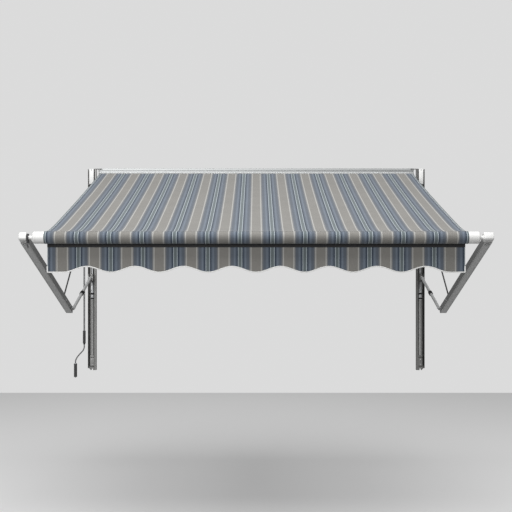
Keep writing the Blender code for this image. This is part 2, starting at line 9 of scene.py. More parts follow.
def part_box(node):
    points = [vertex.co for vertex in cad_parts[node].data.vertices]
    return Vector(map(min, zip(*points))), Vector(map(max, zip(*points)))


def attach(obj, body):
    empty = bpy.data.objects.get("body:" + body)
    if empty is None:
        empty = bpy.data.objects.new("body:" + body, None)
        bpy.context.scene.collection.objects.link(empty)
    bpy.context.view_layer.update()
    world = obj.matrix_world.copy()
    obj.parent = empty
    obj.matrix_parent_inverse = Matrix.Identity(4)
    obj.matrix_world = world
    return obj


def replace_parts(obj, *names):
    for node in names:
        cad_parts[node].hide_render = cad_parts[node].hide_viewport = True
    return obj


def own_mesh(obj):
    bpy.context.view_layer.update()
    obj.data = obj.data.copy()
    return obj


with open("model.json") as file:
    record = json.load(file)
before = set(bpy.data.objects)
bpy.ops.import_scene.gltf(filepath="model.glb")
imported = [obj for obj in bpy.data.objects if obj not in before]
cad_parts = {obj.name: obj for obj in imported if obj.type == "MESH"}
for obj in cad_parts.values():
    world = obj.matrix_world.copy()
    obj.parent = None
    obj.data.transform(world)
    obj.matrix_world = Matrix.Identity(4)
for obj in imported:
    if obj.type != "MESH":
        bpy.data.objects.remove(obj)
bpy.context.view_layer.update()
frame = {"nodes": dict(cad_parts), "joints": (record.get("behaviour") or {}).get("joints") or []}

joints = {joint["name"]: joint for joint in frame["joints"]}
sides = {"left": -1, "right": 1}
xAxis, yAxis, zAxis = Vector((1, 0, 0)), Vector((0, 1, 0)), Vector((0, 0, 1))


# ---- small tools for shaders

class Wire:
    # one socket, or a number, with the operators that the finishes use
    def __init__(self, finish, socket):
        self.finish = finish
        self.socket = socket

    def mathNode(self, operation, first, second=None):
        values = [first] if second is None else [first, second]
        return self.finish.node("ShaderNodeMath", {"operation": operation}, dict(enumerate(values)))

    def __add__(self, other):
        return self.mathNode("ADD", self, other)

    def __radd__(self, other):
        return self.mathNode("ADD", other, self)

    def __sub__(self, other):
        return self.mathNode("SUBTRACT", self, other)

    def __rsub__(self, other):
        return self.mathNode("SUBTRACT", other, self)

    def __mul__(self, other):
        return self.mathNode("MULTIPLY", self, other)

    def __rmul__(self, other):
        return self.mathNode("MULTIPLY", other, self)

    def __truediv__(self, other):
        return self.mathNode("DIVIDE", self, other)

    def __rtruediv__(self, other):
        return self.mathNode("DIVIDE", other, self)

    def sine(self):
        return self.mathNode("SINE", self)

    def foldOver(self, span):
        return self.mathNode("PINGPONG", self, span)


class Finish:
    # a procedural material around one Principled shader
    def __init__(self, name, **plain):
        self.material = bpy.data.materials.new(name)
        self.material.use_nodes = True
        self.tree = self.material.node_tree
        self.shader = self.tree.nodes["Principled BSDF"]
        for socket, value in plain.items():
            self.shader.inputs[socket.replace("_", " ")].default_value = value

    def node(self, kind, settings, values, output=0):
        made = self.tree.nodes.new(kind)
        for name, value in settings.items():
            if name == "stops":
                self.fillRamp(made.color_ramp, value)
            else:
                setattr(made, name, value)
        for socket, value in values.items():
            if isinstance(value, Wire):
                self.tree.links.new(value.socket, made.inputs[socket])
            elif made.inputs[socket].type == "RGBA":
                made.inputs[socket].default_value = (*value, 1)
            else:
                made.inputs[socket].default_value = value
        return Wire(self, made.outputs[output])

    def fillRamp(self, ramp, stops):
        ramp.interpolation = stops[0]
        while len(ramp.elements) < len(stops) - 1:
            ramp.elements.new(0.5)
        for element, (place, colour) in zip(ramp.elements, stops[1:]):
            element.position = place
            element.color = (*colour, 1)

    def feed(self, socket, wire):
        self.tree.links.new(wire.socket, self.shader.inputs[socket])

    def places(self, stretch=(1, 1, 1), kind="Object"):
        raw = self.node("ShaderNodeTexCoord", {}, {}, kind)
        return self.node("ShaderNodeMapping", {}, {"Vector": raw, "Scale": stretch})

    def grain(self, where, scale, detail=3.0, roughness=0.5):
        values = {"Vector": where, "Scale": scale, "Detail": detail, "Roughness": roughness}
        return self.node("ShaderNodeTexNoise", {}, values)

    def spread(self, wire, low, high):
        return self.node("ShaderNodeMapRange", {}, {"Value": wire, "To Min": low, "To Max": high})

    def split(self, wire):
        x = self.node("ShaderNodeSeparateXYZ", {}, {"Vector": wire})
        return [Wire(self, socket) for socket in x.socket.node.outputs]

    def tinted(self, first, second):
        settings = {"data_type": "RGBA", "blend_type": "MULTIPLY"}
        return self.node("ShaderNodeMix", settings, {0: 1.0, 6: first, 7: second}, 2)

    def greyOf(self, tone, blue=None):
        return self.node("ShaderNodeCombineColor", {}, {0: tone, 1: tone, 2: blue or tone})

    def bump(self, height, strength, distance):
        values = {"Height": height, "Strength": strength, "Distance": distance}
        self.feed("Normal", self.node("ShaderNodeBump", {}, values))


# ---- finishes

stripes = {
    # half widths from the middle of the taupe band, in metres, and linear colours
    "period": 3.110 / 13,
    "bands": [
        (0.0000, (0.208, 0.201, 0.187)),    # taupe
        (0.0338, (0.365, 0.362, 0.345)),    # cream
        (0.0426, (0.165, 0.170, 0.178)),    # warm grey
        (0.0515, (0.098, 0.114, 0.138)),    # slate
        (0.0690, (0.108, 0.130, 0.162)),    # blue grey
        (0.0760, (0.142, 0.168, 0.208)),    # steel blue
        (0.0840, (0.098, 0.120, 0.152)),    # blue grey
        (0.0930, (0.038, 0.051, 0.073)),    # navy
        (0.1030, (0.335, 0.378, 0.405)),    # pale blue grey
        (0.1088, (0.118, 0.142, 0.150)),    # grey blue
    ],
    "threadPitch": 0.0011,
}


def stripedCloth(name):
    # UV holds metres: x across the awning, y along the cloth
    finish = Finish(name, Roughness=0.9)
    finish.shader.inputs["Sheen Weight"].default_value = 0.18
    finish.shader.inputs["Sheen Roughness"].default_value = 0.5
    finish.shader.inputs["Specular IOR Level"].default_value = 0.25
    uv = finish.places(kind="UV")
    across, along, _ = finish.split(uv)
    half = stripes["period"] / 2
    wander = (finish.grain(uv, 14.0, 1.0) - 0.5) * 0.0012
    fromTaupe = (across + wander).foldOver(half)
    stops = ["CONSTANT"] + [(place / half, colour) for place, colour in stripes["bands"]]
    bands = finish.node("ShaderNodeValToRGB", {"stops": stops}, {"Fac": fromTaupe / half})
    warpStreaks = finish.grain(finish.places((1, 0.02, 1), "UV"), 900.0, 2.0)
    weftStreaks = finish.grain(finish.places((0.03, 1, 1), "UV"), 700.0, 2.0)
    blotches = finish.grain(uv, 5.5, 4.0, 0.6)
    tone = (warpStreaks - 0.5) * 0.42 + (weftStreaks - 0.5) * 0.26 + (blotches - 0.5) * 0.22 + 1.0
    finish.feed("Base Color", finish.tinted(bands, finish.greyOf(tone)))
    pitch = 2 * math.pi / stripes["threadPitch"]
    weave = (across * pitch).sine() * (along * pitch).sine()
    finish.bump(weave * 0.5 + warpStreaks * 0.6 + weftStreaks * 0.4, 0.35, 0.0006)
    finish.feed("Roughness", finish.spread(blotches, 0.82, 0.96))
    return finish.material


def anodised(name, colour, stretch, rough=(0.30, 0.46), metal=0.9):
    # drawn aluminium: fine lines along the section, faint clouding
    finish = Finish(name, Metallic=metal)
    lines = finish.grain(finish.places(stretch), 60.0, 4.0)
    clouds = finish.grain(finish.places(), 9.0, 3.0)
    tone = (lines - 0.5) * 0.16 + (clouds - 0.5) * 0.10 + 1.0
    finish.feed("Base Color", finish.tinted(finish.greyOf(tone), colour))
    finish.feed("Roughness", finish.spread(lines * 0.5 + clouds * 0.5, *rough))
    finish.bump(lines, 0.12, 0.0003)
    return finish.material


def moulded(name, colour, rough=(0.34, 0.48), grainScale=900.0, grainDepth=0.0002, dirt=0.06):
    finish = Finish(name)
    skin = finish.grain(finish.places(), grainScale, 2.0)
    clouds = finish.grain(finish.places(), 22.0, 4.0)
    tone = (clouds - 0.5) * 2 * dirt + 1.0
    finish.feed("Base Color", finish.tinted(finish.greyOf(tone), colour))
    finish.feed("Roughness", finish.spread(skin * 0.5 + clouds * 0.5, *rough))
    finish.bump(skin, 0.25, grainDepth)
    return finish.material


def zincPlated(name, brightness):
    finish = Finish(name, Metallic=1.0)
    spangle = finish.node("ShaderNodeTexVoronoi", {}, {"Vector": finish.places(), "Scale": 160.0}, 1)
    speck = finish.node("ShaderNodeRGBToBW", {}, {"Color": spangle})
    tone = speck * 0.10 + brightness
    finish.feed("Base Color", finish.greyOf(tone, tone * 1.02))
    finish.feed("Roughness", finish.spread(speck, 0.26, 0.42))
    return finish.material


tapeWeave = {"ribPitch": 0.0016, "colour": (0.93, 0.93, 0.92)}


def braid(name):
    # woven binding tape: short ribs across its length
    finish = Finish(name, Roughness=0.8)
    finish.shader.inputs["Sheen Weight"].default_value = 0.2
    uv = finish.places(kind="UV")
    ribs = (finish.split(uv)[0] * (2 * math.pi / tapeWeave["ribPitch"])).sine()
    tone = ribs * 0.04 + finish.grain(uv, 120.0, 3.0) * 0.16 + 0.88
    finish.feed("Base Color", finish.tinted(finish.greyOf(tone), tapeWeave["colour"]))
    finish.bump(ribs, 0.4, 0.0003)
    return finish.material


cloth = stripedCloth("stripedCloth")
tape = braid("bindingTape")
thread = moulded("sewingThread", (0.62, 0.61, 0.58), (0.7, 0.9))
railMetal = anodised("railAluminium", (0.44, 0.45, 0.45), (0.02, 1, 1), (0.40, 0.55), 0.7)
barMetal = anodised("barAluminium", (0.58, 0.59, 0.60), (1, 1, 0.02))
poleMetal = anodised("poleAluminium", (0.30, 0.305, 0.31), (1, 1, 0.02), (0.25, 0.36))
armMetal = anodised("armAluminium", (0.33, 0.332, 0.33), (1, 0.05, 0.05), (0.34, 0.50), 0.75)
linkMetal = anodised("linkAluminium", (0.80, 0.81, 0.81), (1, 0.05, 0.05), (0.26, 0.40), 0.35)
channelPaint = anodised("channelPaint", (0.235, 0.235, 0.23), (1, 1, 0.02), (0.36, 0.50), 0.55)
# near-black finish that paints the shade in the wall channel's recess
linerPaint = anodised("linerPaint", (0.075, 0.075, 0.074), (1, 1, 0.02), (0.55, 0.70), 0.2)
barPaint = anodised("barPaint", (0.36, 0.36, 0.355), (1, 1, 0.02), (0.30, 0.42), 0.6)
whitePlastic = moulded("whitePlastic", (0.79, 0.79, 0.78))
# black plastic, also used as painted shade for the block by the hinge
blackPlastic = moulded("blackPlastic", (0.020, 0.020, 0.022), (0.42, 0.58))
gripPlastic = moulded("gripPlastic", (0.055, 0.055, 0.056), (0.55, 0.75), 1400.0, 0.0004)
greyPlastic = moulded("greyPlastic", (0.36, 0.365, 0.365))
# black rubber for the clamp collar and foot bands, also used as painted shade for the strips under the roll, in the
# clip's grooves and beside the rail's end
rubberAndShade = moulded("blackRubber", (0.012, 0.012, 0.013), (0.70, 0.85))
steel = zincPlated("zincSteel", 0.50)
darkSteel = zincPlated("darkSteel", 0.14)
print("finishes made")


# ---- small tools for meshes

def addPiece(name, mesh, finish, body, sharpAngle=35):
    piece = bpy.data.objects.new(name, mesh)
    bpy.context.scene.collection.objects.link(piece)
    mesh.materials.clear()
    mesh.materials.append(finish)
    mesh.shade_smooth()
    mesh.set_sharp_from_angle(angle=math.radians(sharpAngle))
    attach(piece, body)
    return piece


def meshFrom(name, vertices, faces, uvs=None):
    mesh = bpy.data.meshes.new(name)
    mesh.from_pydata([tuple(v) for v in vertices], [], faces)
    if uvs:
        layer = mesh.uv_layers.new(name="metres")
        for loop in mesh.loops:
            layer.data[loop.index].uv = uvs[loop.vertex_index]
    mesh.update()
    return mesh


def gridMesh(name, columns, rows, place):
    # place(i, j) gives a point and its UV in metres
    vertices, uvs, faces = [], [], []
    for j in range(rows + 1):
        for i in range(columns + 1):
            point, uv = place(i / columns, j / rows)
            vertices.append(point)
            uvs.append(uv)
    wide = columns + 1
    for j in range(rows):
        for i in range(columns):
            a = j * wide + i
            faces.append((a, a + 1, a + wide + 1, a + wide))
    return meshFrom(name, vertices, faces, uvs)


def thicken(piece, thickness):
    solid = piece.modifiers.new("thickness", "SOLIDIFY")
    solid.thickness = thickness
    solid.offset = 0.0
    solid.use_quality_normals = True
    bpy.context.view_layer.update()
    evaluated = piece.evaluated_get(bpy.context.evaluated_depsgraph_get())
    finished = bpy.data.meshes.new_from_object(evaluated)
    piece.modifiers.clear()
    piece.data = finished


def turnedMesh(profile, origin, direction, segments=28):
    # profile: (height, radius) from the top down; the axis leaves origin along direction
    turn = Vector(direction).to_track_quat("Z", "Y").to_matrix()
    work = bmesh.new()
    rings = []
    for height, radius in profile:
        if radius < 1e-6:
            rings.append([work.verts.new(origin + turn @ Vector((0, 0, height)))])
            continue
        ring = []
        for i in range(segments):
            angle = 2 * math.pi * i / segments
            spot = Vector((radius * math.cos(angle), radius * math.sin(angle), height))
            ring.append(work.verts.new(origin + turn @ spot))
        rings.append(ring)
    for upper, lower in zip(rings, rings[1:]):
        for i in range(segments):
            k = (i + 1) % segments
            corners = [upper[i % len(upper)], lower[i % len(lower)], lower[k % len(lower)], upper[k % len(upper)]]
            unique = list(dict.fromkeys(corners))
            if len(unique) > 2:
                work.faces.new(unique)
    bmesh.ops.recalc_face_normals(work, faces=work.faces)
    mesh = bpy.data.meshes.new("turned")
    work.to_mesh(mesh)
    work.free()
    return mesh


def joined(name, meshes):
    work = bmesh.new()
    for mesh in meshes:
        work.from_mesh(mesh)
    result = bpy.data.meshes.new(name)
    work.to_mesh(result)
    work.free()
    return result


def smoothPath(points, steps=10):
    # Catmull-Rom curve through the points
    points = [Vector(p) for p in points]
    line = []
    padded = [2 * points[0] - points[1], *points, 2 * points[-1] - points[-2]]
    for a, b, c, d in zip(padded, padded[1:], padded[2:], padded[3:]):
        for k in range(steps):
            t = k / steps
            line.append(0.5 * (2 * b + (c - a) * t + (2 * a - 5 * b + 4 * c - d) * t ** 2
                               + (3 * b - a - 3 * c + d) * t ** 3))
    line.append(points[-1])
    return line


def sweptMesh(name, line, radiusUp, radiusOut, segments=12):
    # an oval swept along a line; radiusOut lies along Y, radiusUp across it
    vertices, uvs, faces = [], [], []
    run = 0.0
    for k, point in enumerate(line):
        before = line[max(k - 1, 0)]
        after = line[min(k + 1, len(line) - 1)]
        tangent = (after - before).normalized()
        out = (yAxis - tangent * tangent.dot(yAxis)).normalized()
        up = tangent.cross(out)
        run += (point - line[k - 1]).length if k else 0.0
        for i in range(segments):
            angle = 2 * math.pi * i / segments
            vertices.append(point + up * radiusUp * math.sin(angle) + out * radiusOut * math.cos(angle))
            uvs.append((run, angle * radiusUp))
    for k in range(len(line) - 1):
        for i in range(segments):
            a = k * segments + i
            b = k * segments + (i + 1) % segments
            faces.append((a, b, b + segments, a + segments))
    faces.append(tuple(reversed(range(segments))))
    faces.append(tuple(range(len(vertices) - segments, len(vertices))))
    mesh = meshFrom(name, vertices, faces, uvs)
    work = bmesh.new()
    work.from_mesh(mesh)
    bmesh.ops.recalc_face_normals(work, faces=work.faces)
    work.to_mesh(mesh)
    work.free()
    return mesh


def screwHead(origin, direction, radius=0.0045, height=0.0026):
    # pan head with a cross recess
    origin = Vector(origin)
    profile = [(height, 0), (height * 0.97, radius * 0.45), (height * 0.75, radius * 0.80),
               (height * 0.35, radius), (0, radius)]
    head = turnedMesh(profile, Vector((0, 0, 0)), zAxis, 16)
    work = bmesh.new()
    work.from_mesh(head)
    for k in range(2):
        turn = Matrix.Rotation(math.pi / 2 * k, 4, "Z")
        size = Matrix.Diagonal((radius * 1.1, radius * 0.24, height * 0.9, 1))
        bmesh.ops.create_cube(work, size=1, matrix=Matrix.Translation((0, 0, height * 0.62)) @ turn @ size)
    turn = Vector(direction).to_track_quat("Z", "Y").to_matrix().to_4x4()
    bmesh.ops.transform(work, matrix=Matrix.Translation(origin) @ turn, verts=work.verts)
    mesh = bpy.data.meshes.new("screwHead")
    work.to_mesh(mesh)
    work.free()
    return mesh


stitch = {"pitch": 0.0065, "length": 0.0042, "width": 0.0008}


def stitchRow(name, line, body):
    # short raised threads along a line
    meshes = []
    reach, goal = 0.0, stitch["pitch"] / 2
    for a, b in zip(line, line[1:]):
        span = (b - a).length
        while goal < reach + span and span > 0:
            middle = a + (b - a) * ((goal - reach) / span)
            heading = (b - a).normalized() * stitch["length"] / 2
            ends = [middle - heading, middle + heading]
            meshes.append(sweptMesh("stitch", ends, stitch["width"] / 2, stitch["width"] / 2, 5))
            goal += stitch["pitch"]
        reach += span
    mesh = joined(name, meshes)
    for part in meshes:
        bpy.data.meshes.remove(part)
    return addPiece(name, mesh, thread, body)


def middleOf(node):
    low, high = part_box(node)
    return (Vector(low) + Vector(high)) / 2


# ---- where things are, read from the frame

rollLow, rollHigh = (Vector(corner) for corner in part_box("canopy_roll"))
rollAxis = (rollLow + rollHigh) / 2
rollRadius = (rollHigh.z - rollLow.z) / 2
halfCloth = rollHigh.x
railMiddle = middleOf("canopy_keder")
elbowPoint = Vector(joints["elbow_fold_left"]["pos_m"])
armRun = Vector((0, rollAxis.y - elbowPoint.y, rollAxis.z - elbowPoint.z))
armLength = armRun.length
armAlong = armRun.normalized()
armUp = Vector((0, armAlong.z, -armAlong.y))

canopy = {
    "columns": 220,
    "rows": 90,
    "thickness": 0.0011,
    "sag": 0.031,
    "sagRise": 3,               # how soon the sag begins below the rail
    "sagHold": 24,              # how long it lasts before the cloth meets the roll
    "ripple": 0.0022,
    "hem": 0.026,
    "keep": 0.006,              # share of its length left between rail and roll when folded
    "slotReach": 0.012,         # from the keder's middle to where the cloth leaves the rail
    "slotDrop": 0.0030,
    "stitchInset": 0.004,
    "stitchEnd": 0.985,         # share of the length where the rows of stitches stop
    "stitchPoints": 90,
}


def canopyLine():
    # from the rail's slot to the tangent on the roll, as a start, a heading and a length
    start = Vector((0, railMiddle.y - canopy["slotReach"], railMiddle.z - canopy["slotDrop"]))
    toAxis = Vector((0, rollAxis.y - start.y, rollAxis.z - start.z))
    lift = math.asin((rollRadius + canopy["thickness"] / 2) / toAxis.length)
    heading = math.atan2(toAxis.z, toAxis.y) - lift
    along = Vector((0, math.cos(heading), math.sin(heading)))
    return start, along, toAxis.length * math.cos(lift)


clothStart, clothAlong, clothLength = canopyLine()
clothUp = Vector((0, clothAlong.z, -clothAlong.y))


def clothHeight(x, s):
    # sag between rail and roller, faint pull lines that die out at both ends
    belly = math.sin(math.pi * s)
    sag = -canopy["sag"] * (1 - (1 - s) ** canopy["sagRise"]) * (1 - s ** canopy["sagHold"])
    slow = noise.noise(Vector((x * 1.9, s * 1.6, 3.1)))
    pull = noise.noise(Vector((x * 9.0, s * 1.1, 7.7)))
    ripple = canopy["ripple"] * max(0.0, belly) ** 0.6 * (slow + 0.45 * pull)
    hem = 0.0007 if abs(x) > halfCloth - canopy["hem"] else 0.0
    return sag + ripple + hem


def makeCanopy():
    def place(i, j):
        x = -halfCloth + 2 * halfCloth * i
        point = clothStart + clothAlong * (clothLength * j) + clothUp * clothHeight(x, j)
        point.x = x
        return point, (x, clothLength * j)

    piece = addPiece("canopySheet", gridMesh("canopySheet", canopy["columns"], canopy["rows"], place),
                     cloth, "root")
    thicken(piece, canopy["thickness"])
    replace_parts(piece, "canopy")
    rows = []
    for side, sign in sides.items():
        for number, inset in enumerate((canopy["stitchInset"], canopy["hem"] - canopy["stitchInset"])):
            line = []
            for k in range(canopy["stitchPoints"] + 1):
                s = canopy["stitchEnd"] * k / canopy["stitchPoints"]
                x = sign * (halfCloth - inset)
                height = clothHeight(x, s) + canopy["thickness"] / 2 + 0.0002
                point = clothStart + clothAlong * (clothLength * s) + clothUp * height
                point.x = x
                line.append(point)
            rows.append(stitchRow("hemStitch_%s_%d" % (side, number), line, "root"))
    for soft in [piece, *rows]:
        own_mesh(soft)


roll = {"columns": 260, "rows": 64, "swell": 0.0005, "endDepth": 0.0022}


def makeRoll():
    # the turns of cloth on the roller: an outer skin with faint ridges, layered ends
    first = math.atan2(clothUp.z, clothUp.y)

    def place(i, j):
        x = -halfCloth + 2 * halfCloth * i
        angle = first + 2 * math.pi * j
        swell = roll["swell"] * noise.noise(Vector((x * 6, math.cos(angle) * 0.8, math.sin(angle) * 0.8)))
        radius = rollRadius - 0.0001 + swell * math.sin(math.pi * i) ** 0.3
        point = Vector((x, rollAxis.y + radius * math.cos(angle), rollAxis.z + radius * math.sin(angle)))
        return point, (x, radius * angle)

    skin = gridMesh("rollSkin", roll["columns"], roll["rows"], place)
    ends = []
    inner = rollRadius - roll["endDepth"]
    for sign in sides.values():
        origin = Vector((sign * halfCloth, rollAxis.y, rollAxis.z))
        profile = [(0, rollRadius - 0.0001), (-0.0010, rollRadius - 0.0006), (0, rollRadius - 0.0009),
                   (-0.0010, rollRadius - 0.0013), (0, rollRadius - 0.0016), (-0.0010, inner)]
        ring = turnedMesh(profile, origin, xAxis * sign, 64)
        layer = ring.uv_layers.new(name="metres")
        for loop in ring.loops:
            spot = ring.vertices[loop.vertex_index].co
            layer.data[loop.index].uv = (spot.x, spot.z)
        ends.append(ring)
    mesh = joined("clothRoll", [skin, *ends])
    piece = addPiece("clothRoll", mesh, cloth, "roller")
    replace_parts(piece, "canopy_roll")


makeCanopy()
makeRoll()
print("canopy and roll made")


valance = {
    "columns": 420,
    "rows": 22,
    "thickness": 0.0011,
    "period": 0.358,
    "lows": 4,                  # low points each side of the middle one
    "wave": 0.0070,             # how far the hem swings in and out
    "tapeHeight": 0.0046,
    "tapeThickness": 0.0021,
    "turnUp": 0.045,            # tape that turns up the short ends
    "hemPoints": 520,
    "hemAllowance": 0.022,
}
valanceLow, valanceHigh = (Vector(corner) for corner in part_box("valance"))
tapeLow, tapeHigh = (Vector(corner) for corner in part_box("valance_piping"))
hemRadius = (tapeHigh.y - tapeLow.y) / 2
hemLow, hemTop = tapeLow.z + hemRadius, tapeHigh.z - hemRadius
valanceHalf = valanceHigh.x


def hemHeight(x):
    if abs(x) > valance["lows"] * valance["period"]:
        return hemLow
    swing = (hemTop - hemLow) / 2
    return (hemTop + hemLow) / 2 - swing * math.cos(2 * math.pi * x / valance["period"])


def valanceDepth(x, drop):
    # drop: 0 at the roller, 1 at the hem
    folds = math.sin(x * 17.5 + 0.8) + 0.5 * noise.noise(Vector((x * 3.1, 1.7, 0)))
    return (valanceLow.y + valanceHigh.y) / 2 + valance["wave"] * drop ** 1.5 * folds * 0.6


def makeValance():
    top = valanceHigh.z

    def place(i, j):
        x = -valanceHalf + 2 * valanceHalf * i
        bottom = hemHeight(x)
        z = top + (bottom - top) * j
        return Vector((x, valanceDepth(x, j), z)), (x, z)

    sheet = addPiece("valanceSheet", gridMesh("valanceSheet", valance["columns"], valance["rows"], place),
                     cloth, "valance_hang")
    thicken(sheet, valance["thickness"])
    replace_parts(sheet, "valance")

    steps = valance["hemPoints"]
    hem = []
    for k in range(steps + 1):
        x = -valanceHalf + 2 * valanceHalf * k / steps
        hem.append(Vector((x, valanceDepth(x, 1), hemHeight(x))))
    left = [hem[0] + Vector((0, 0, valance["turnUp"] * k / 6)) for k in range(6, 0, -1)]
    right = [hem[-1] + Vector((0, 0, valance["turnUp"] * k / 6)) for k in range(1, 7)]
    line = [*left, *hem, *right]
    mesh = sweptMesh("hemTape", line, valance["tapeHeight"], valance["tapeThickness"], 10)
    binding = addPiece("hemTape", mesh, tape, "valance_hang")
    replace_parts(binding, "valance_piping")
    above = [point + Vector((0, -valance["tapeThickness"] - 0.0002, 0.0024)) for point in hem]
    seam = stitchRow("hemTapeStitch", above, "valance_hang")
    drop = top - (hemLow + hemTop) / 2
    drop + valance["hemAllowance"]
    2 * valanceHalf * drop


makeValance()
print("valance made")


# ---- hardware: finishes on the CAD parts

nodeFinishes = {
    "awning_rail": railMetal, "rail_end_cap": whitePlastic, "canopy_keder": tape,
    "roller_tube": railMetal, "roller_axle": whitePlastic,
    "main_arm": armMetal, "elbow_pin": steel,
    "lower_link": linkMetal, "link_bracket": barPaint, "link_pin": steel,
    "strut_cylinder": blackPlastic, "strut_rod": darkSteel, "strut_pin": steel, "strut_bracket": steel,
    "strut_top_pin": steel, "wall_channel": channelPaint, "lower_bar": barPaint, "upper_bar": barMetal,
    "crank_pole": poleMetal, "crank_clip": blackPlastic,
}


def finishNodes():
    for name, node in frame["nodes"].items():
        family = name.replace("_left", "").replace("_right", "")
        if family in nodeFinishes:
            node.data.materials.clear()
            node.data.materials.append(nodeFinishes[family])


def softened(nodeName, newName, finish, body, width, segments=3):
    # the CAD part again with its sharp edges rounded
    work = bmesh.new()
    node = frame["nodes"][nodeName]
    work.from_mesh(node.data)
    bmesh.ops.transform(work, matrix=node.matrix_world, verts=work.verts)
    bmesh.ops.remove_doubles(work, verts=work.verts, dist=1e-6)
    bmesh.ops.dissolve_limit(work, angle_limit=0.01, verts=work.verts, edges=work.edges)
    sharp = [edge for edge in work.edges if len(edge.link_faces) == 2 and edge.calc_face_angle() > 0.6]
    bmesh.ops.bevel(work, geom=sharp, offset=width, segments=segments, affect="EDGES",
                    profile=0.5, clamp_overlap=True)
    mesh = bpy.data.meshes.new(newName)
    work.to_mesh(mesh)
    work.free()
    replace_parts(addPiece(newName, mesh, finish, body), nodeName)


def blockMesh(low, high):
    work = bmesh.new()
    middle = (Vector(low) + Vector(high)) / 2
    size = Vector([abs(b - a) for a, b in zip(low, high)])
    matrix = Matrix.Translation(middle) @ Matrix.Diagonal((*size, 1))
    bmesh.ops.create_cube(work, size=1, matrix=matrix)
    bmesh.ops.bevel(work, geom=work.edges[:], offset=min(size) * 0.18, segments=2,
                    affect="EDGES", profile=0.5)
    mesh = bpy.data.meshes.new("block")
    work.to_mesh(mesh)
    work.free()
    return mesh


def ringMesh(origin, direction, ringRadius, wireRadius, segments=32):
    profile = []
    for k in range(13):
        angle = 2 * math.pi * k / 12
        profile.append((wireRadius * math.sin(angle), ringRadius + wireRadius * math.cos(angle)))
    return turnedMesh(profile, Vector(origin), Vector(direction), segments)


def domeProfile(radius, height, flat=0.35):
    # a shallow button from its crown to its rim
    profile = [(height, 0), (height, radius * flat)]
    for k in range(1, 5):
        angle = math.pi / 2 * k / 4
        profile.append((height * math.cos(angle), radius * (flat + (1 - flat) * math.sin(angle))))
    return profile


finishNodes()
print("finishes on the CAD parts")


# ---- valance gap shade: a black strip painted in for the shadow that the roll casts on the valance's top

gapShade = {"top": 0.0220, "bottom": 0.0245, "half": 0.0042, "wave": 0.0004}


def squared(value):
    # a circle's sine or cosine pushed towards a rounded oblong
    return math.copysign(abs(value) ** 0.6, value)


def makeGapShade():
    # a soft black strip from the roll down to its lower edge, in front of the valance: painted shadow under the roll
    front = valanceLow.y - gapShade["half"]
    low = rollAxis.z - rollRadius - gapShade["bottom"]
    high = rollAxis.z - rollRadius + gapShade["top"]

    def place(i, j):
        x = -valanceHalf + 2 * valanceHalf * i
        angle = 2 * math.pi * j
        middle, half = (low + high) / 2, (high - low) / 2
        y = front + gapShade["half"] * (1 + squared(math.cos(angle))) * 0.5 - 0.0008
        z = middle + half * squared(math.sin(angle)) + gapShade["wave"] * noise.noise(Vector((x * 5, 0, 0)))
        return Vector((x, y, z)), (x, z)

    addPiece("valanceSpline", gridMesh("valanceSpline", 200, 16, place), rubberAndShade, "valance_hang")


makeGapShade()


# ---- arms: heads, knobs, ribs, bolts

# outlines below are (height, radius) pairs from the crown down
arm = {
    "web": -0.0275,             # from the middle of the section
    "headSoftness": 0.0055,
    "capSoftness": 0.0012,
    "knobBack": 0.072,
    "knob": (0.0155, 0.0085),   # radius, height
    "knobRing": [(0.002, 0), (0.002, 0.0185), (0, 0.019)],
    "ribInset": 0.007,
    "ribStart": 0.045,
    "ribEnd": 0.110,
    "ribUp": 0.0012,
    "ribOut": 0.0016,
    "strutPin": 0.255,
    "washer": [(0.0008, 0), (0.0008, 0.0095), (0, 0.0095)],
    "bolt": [(0.0040, 0), (0.0040, 0.0055), (0.0034, 0.0064), (0.0006, 0.0064)],
    "headScrewBacks": (0.054, 0.086),
    "headScrewLift": 0.002,
    "headScrew": (0.0045, 0.0018),
    "elbowWasher": [(0.0012, 0), (0.0012, 0.0125), (0, 0.0125)],
    "elbowNut": [(0.0045, 0), (0.0045, 0.0062), (0.0038, 0.0072), (0, 0.0072)],
    "elbowNutOut": 0.0043,
}
armIn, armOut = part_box("main_arm_right")[0][0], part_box("main_arm_right")[1][0]
armX = (armIn + armOut) / 2
armFaces = ((armOut, 1), (armIn, -1))


def onArm(x, distance, lift):
    # a point by its distance from the elbow, lifted off the middle of the section
    point = elbowPoint + armAlong * distance + armUp * lift
    point.x = x
    return point


def makeArmHead(side, sign, body):
    softened("arm_head_" + side, "armHead_" + side, whitePlastic, body, arm["headSoftness"])
    softened("arm_end_cap_" + side, "armEndCap_" + side, greyPlastic, body, arm["capSoftness"], 2)
    at = onArm(sign * armX, armLength - arm["knobBack"], arm["web"])
    knob = turnedMesh(domeProfile(*arm["knob"]), at, -armUp)
    addPiece("headKnob_" + side, knob, greyPlastic, body)
    addPiece("headKnobRing_" + side, turnedMesh(arm["knobRing"], at, -armUp), blackPlastic, body)


def makeArmRibs(side, sign, body):
    ribs = []
    for edge in (armIn + arm["ribInset"], armOut - arm["ribInset"]):
        ends = [onArm(sign * edge, arm["ribStart"], arm["web"]),
                onArm(sign * edge, armLength - arm["ribEnd"], arm["web"])]
        ribs.append(sweptMesh("rib", ends, arm["ribUp"], arm["ribOut"], 8))
    addPiece("armRibs_" + side, joined("armRibs", ribs), armMetal, body)


